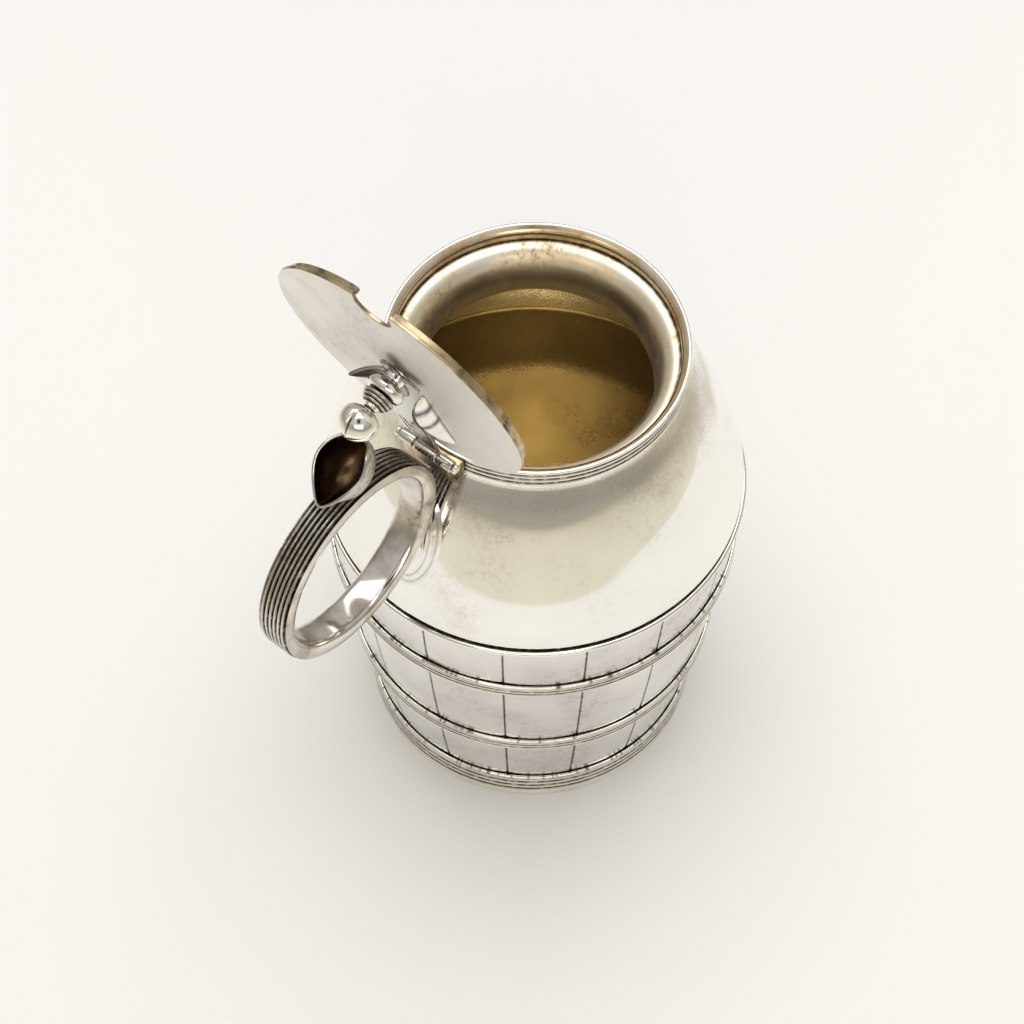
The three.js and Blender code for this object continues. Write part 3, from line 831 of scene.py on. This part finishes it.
def finial():
    """The stem from the lid up to the bud: foot, knop, three reeds and neck."""
    foot_profile = plain([(0, 0.1), (1.8, 0.1), (1.75, 1.3), (1.5, 1.8), (0, 1.9)])
    knop = [(0, 2.0, 0.0), (1.7, 2.0, 1.0)]
    knop += plain(through([(2.1, 2.05), (2.75, 2.35), (3.08, 2.9), (3.1, 3.4), (2.8, 3.95), (2.1, 4.35)], 5))
    knop += [(1.8, 4.4, 1.0), (0, 4.4, 0.0)]
    stack = [(0, 4.5, 0.0), (1.9, 4.5, 1.0)]
    for low, high, r in ((4.52, 5.1, 2.6), (5.1, 5.65, 2.4), (5.65, 6.2, 2.05)):
        arc = plain(half_circle(r - 0.35, (low + high) / 2, 0.35, (high - low) / 2, 6))
        stack += [(*arc[0][:2], 1.0), *arc[1:-1], (*arc[-1][:2], 1.0)]
    stack += [(1.3, 6.3, 0.5), (0, 6.3, 0.0)]
    neck = plain([(0, 6.35), (1.35, 6.35), (1.2, 6.6), (1.0, 6.85), (1.15, 7.15), (0, 7.15)])
    stem_part("stem_foot", "finial_foot", foot_profile, SILVER, 40)
    stem_part("knop", "finial_knop", knop, SILVER, 64)
    stem_part("stack", "finial_reeds", stack, RING_SILVER, 64)
    stem_part("neck", "finial_neck", neck, SILVER, 48)


def bud():
    """Closed bud with four petals, parted by folds that deepen towards the tip."""
    z = LID_TOP
    profile = plain(through([
        (0, z + 7.2), (1.2, z + 7.25), (2.3, z + 7.7), (3.0, z + 8.6), (3.12, z + 9.7), (2.75, z + 10.9),
        (1.9, z + 11.8), (0.9, z + 12.35), (0, z + 12.6),
    ], 6))

    def petals(a, r, height):
        up = (height - z - 7.2) / 5.4
        fold = max(0.0, 1 - abs(math.sin(2 * a)) * 3.2) ** 1.5 * max(0.0, min(1.0, 2.2 * up - 0.5))
        # The dark colour in the folds is a painted reflection of dark surroundings.
        return -0.75 * fold * min(1.0, r / 2), min(1.0, 1.5 * fold ** 2)

    piece("bud", turned(profile, carve=petals, steps=120), [HOOP_SILVER], "lid", ["finial_bud"],
          pose=LID_POSE, sharp=70)


def thumb_lift():
    """Dished half leaf that stands on the lid beside the strap, with two dark bands, painted reflections of
    the ring's reeds, and a dark edge.
    """
    start = Vector((-3.2, -3.9, LID_TOP))
    end = Vector((-16.2, -7.2, LID_TOP))

    def point(s, t):
        swell = math.sin(math.pi * s ** 0.9) ** 0.75
        base = start + (end - start) * s
        bend = t * math.pi / 2
        out = 2.4 * swell * (1 - math.cos(bend))
        up = 2.5 * swell * math.sin(bend)
        band = max(0.0, 1 - abs(s - 0.2 - 0.1 * t) / 0.08) + max(0.0, 1 - abs(s - 0.46 - 0.1 * t) / 0.06)
        edge = max(0.0, 1 - abs(t - 0.86) / 0.05)
        return base + Vector((0.25 * out, out, 0.05 + up)), min(0.95, band if t < 0.8 else edge)

    piece("lift", grid(40, 14, point), [SILVER], "lid", ["thumb_lift"], pose=LID_POSE,
          solidify=0.55, subdivide=1)


# ---- stage ----------------------------------------------------------------------------------


def rectangle(name, half_x, half_y, material):
    """A flat sheet for the stage; its size is in metres."""
    mesh = bpy.data.meshes.new(name)
    corners = [(-half_x, -half_y, 0), (half_x, -half_y, 0), (half_x, half_y, 0), (-half_x, half_y, 0)]
    mesh.from_pydata(corners, [], [(0, 1, 2, 3)])
    mesh.materials.append(material)
    obj = bpy.data.objects.new(name, mesh)
    bpy.context.scene.collection.objects.link(obj)
    return obj


def floor():
    """White paper near the pot and beige beyond it, whose border the polished dome reflects."""
    material = bpy.data.materials.new("paper floor")
    material.use_nodes = True
    tree = material.node_tree
    shader = tree.nodes["Principled BSDF"]
    shader.inputs["Roughness"].default_value = 0.8
    place = tree.nodes.new("ShaderNodeTexCoord").outputs["Object"]
    length = tree.nodes.new("ShaderNodeVectorMath")
    length.operation = "LENGTH"
    tree.links.new(place, length.inputs[0])
    colour = ramp(tree, length.outputs["Value"], [
        (PAPER_R, (0.935, 0.922, 0.898)), (PAPER_R + 0.006, (0.78, 0.75, 0.63)), (1.0, (0.66, 0.62, 0.50))])
    tree.links.new(colour, shader.inputs["Base Color"])
    sheet = rectangle("floor_sheet", 1.6, 1.6, material)


def sky():
    """Room light by height: warm and dim near the horizon, white overhead."""
    world = bpy.data.worlds.new("studio")
    world.use_nodes = True
    bpy.context.scene.world = world
    tree = world.node_tree
    towards = tree.nodes.new("ShaderNodeTexCoord").outputs["Generated"]
    split = tree.nodes.new("ShaderNodeSeparateXYZ")
    tree.links.new(towards, split.inputs[0])
    height = maths(tree, "MULTIPLY_ADD", split.outputs["Z"], 0.5)
    height.node.inputs[2].default_value = 0.5
    colour = ramp(tree, height, [
        (0.48, (0.60, 0.56, 0.45)), (0.56, (0.50, 0.47, 0.40)), (0.66, (0.62, 0.60, 0.56)),
        (0.85, (0.90, 0.89, 0.87)), (1.0, (1.0, 1.0, 1.0))])
    tree.links.new(colour, tree.nodes["Background"].inputs["Color"])
    tree.nodes["Background"].inputs["Strength"].default_value = 0.66


def softbox(name, azimuth, elevation, distance, size, energy, colour):
    """Rectangular lamp that faces the pot."""
    data = bpy.data.lights.new(name, "AREA")
    data.shape = "RECTANGLE"
    data.size, data.size_y = size
    data.energy = energy
    data.color = colour
    light = bpy.data.objects.new(name, data)
    bpy.context.scene.collection.objects.link(light)
    away = direction(azimuth, elevation)
    light.location = Vector((0, 0, 0.06)) + away * distance
    light.rotation_mode = "QUATERNION"
    light.rotation_quaternion = (-away).to_track_quat("-Z", "Y")


def lights():
    softbox("overhead", 42, 79, 0.85, (0.85, 0.85), 4.5, (1.0, 0.99, 0.975))
    softbox("front", -141, 28, 1.0, (0.8, 0.35), 1.8, (1.0, 0.93, 0.82))


def dark_card():
    """The dark front of a camera on its stand, which polished silver shows as dark reflections."""
    material = bpy.data.materials.new("black card")
    material.use_nodes = True
    shader = material.node_tree.nodes["Principled BSDF"]
    shader.inputs["Base Color"].default_value = (0.01, 0.01, 0.012, 1.0)
    shader.inputs["Roughness"].default_value = 0.7
    card = rectangle("dark_card", 0.075, 0.10, material)
    card.location = AIM + CAMERA_BACK * CARD_DISTANCE
    card.rotation_mode = "QUATERNION"
    card.rotation_quaternion = CAMERA_BACK.to_track_quat("Z", "Y")


def camera():
    data = bpy.data.cameras.new("camera")
    data.sensor_width = 36.0
    data.lens = 98.44
    data.clip_start, data.clip_end = 0.02, 20.0
    obj = bpy.data.objects.new("camera", data)
    bpy.context.scene.collection.objects.link(obj)
    obj.location = AIM + CAMERA_BACK * CAMERA_DISTANCE
    obj.rotation_mode = "QUATERNION"
    roll = Matrix.Rotation(math.radians(0.38), 4, "Z").to_quaternion()
    obj.rotation_quaternion = (-CAMERA_BACK).to_track_quat("-Z", "Y") @ roll
    bpy.context.scene.camera = obj


# ---- assembly -------------------------------------------------------------------------------

bpy.context.scene.view_settings.view_transform = "Standard"
base_disc()
foot()
barrel()
hoops()
shoulder_bead()
dome()
collar()
funnel()
hinge()
bracket()
ring_handle()
pads()
thumb_rest()
plate()
bezel()
strap()
nut()
calyx()
finial()
bud()
thumb_lift()
frame["nodes"]["hinge_pin"].data.materials.clear()
frame["nodes"]["hinge_pin"].data.materials.append(SILVER)
floor()
sky()
lights()
dark_card()
camera()
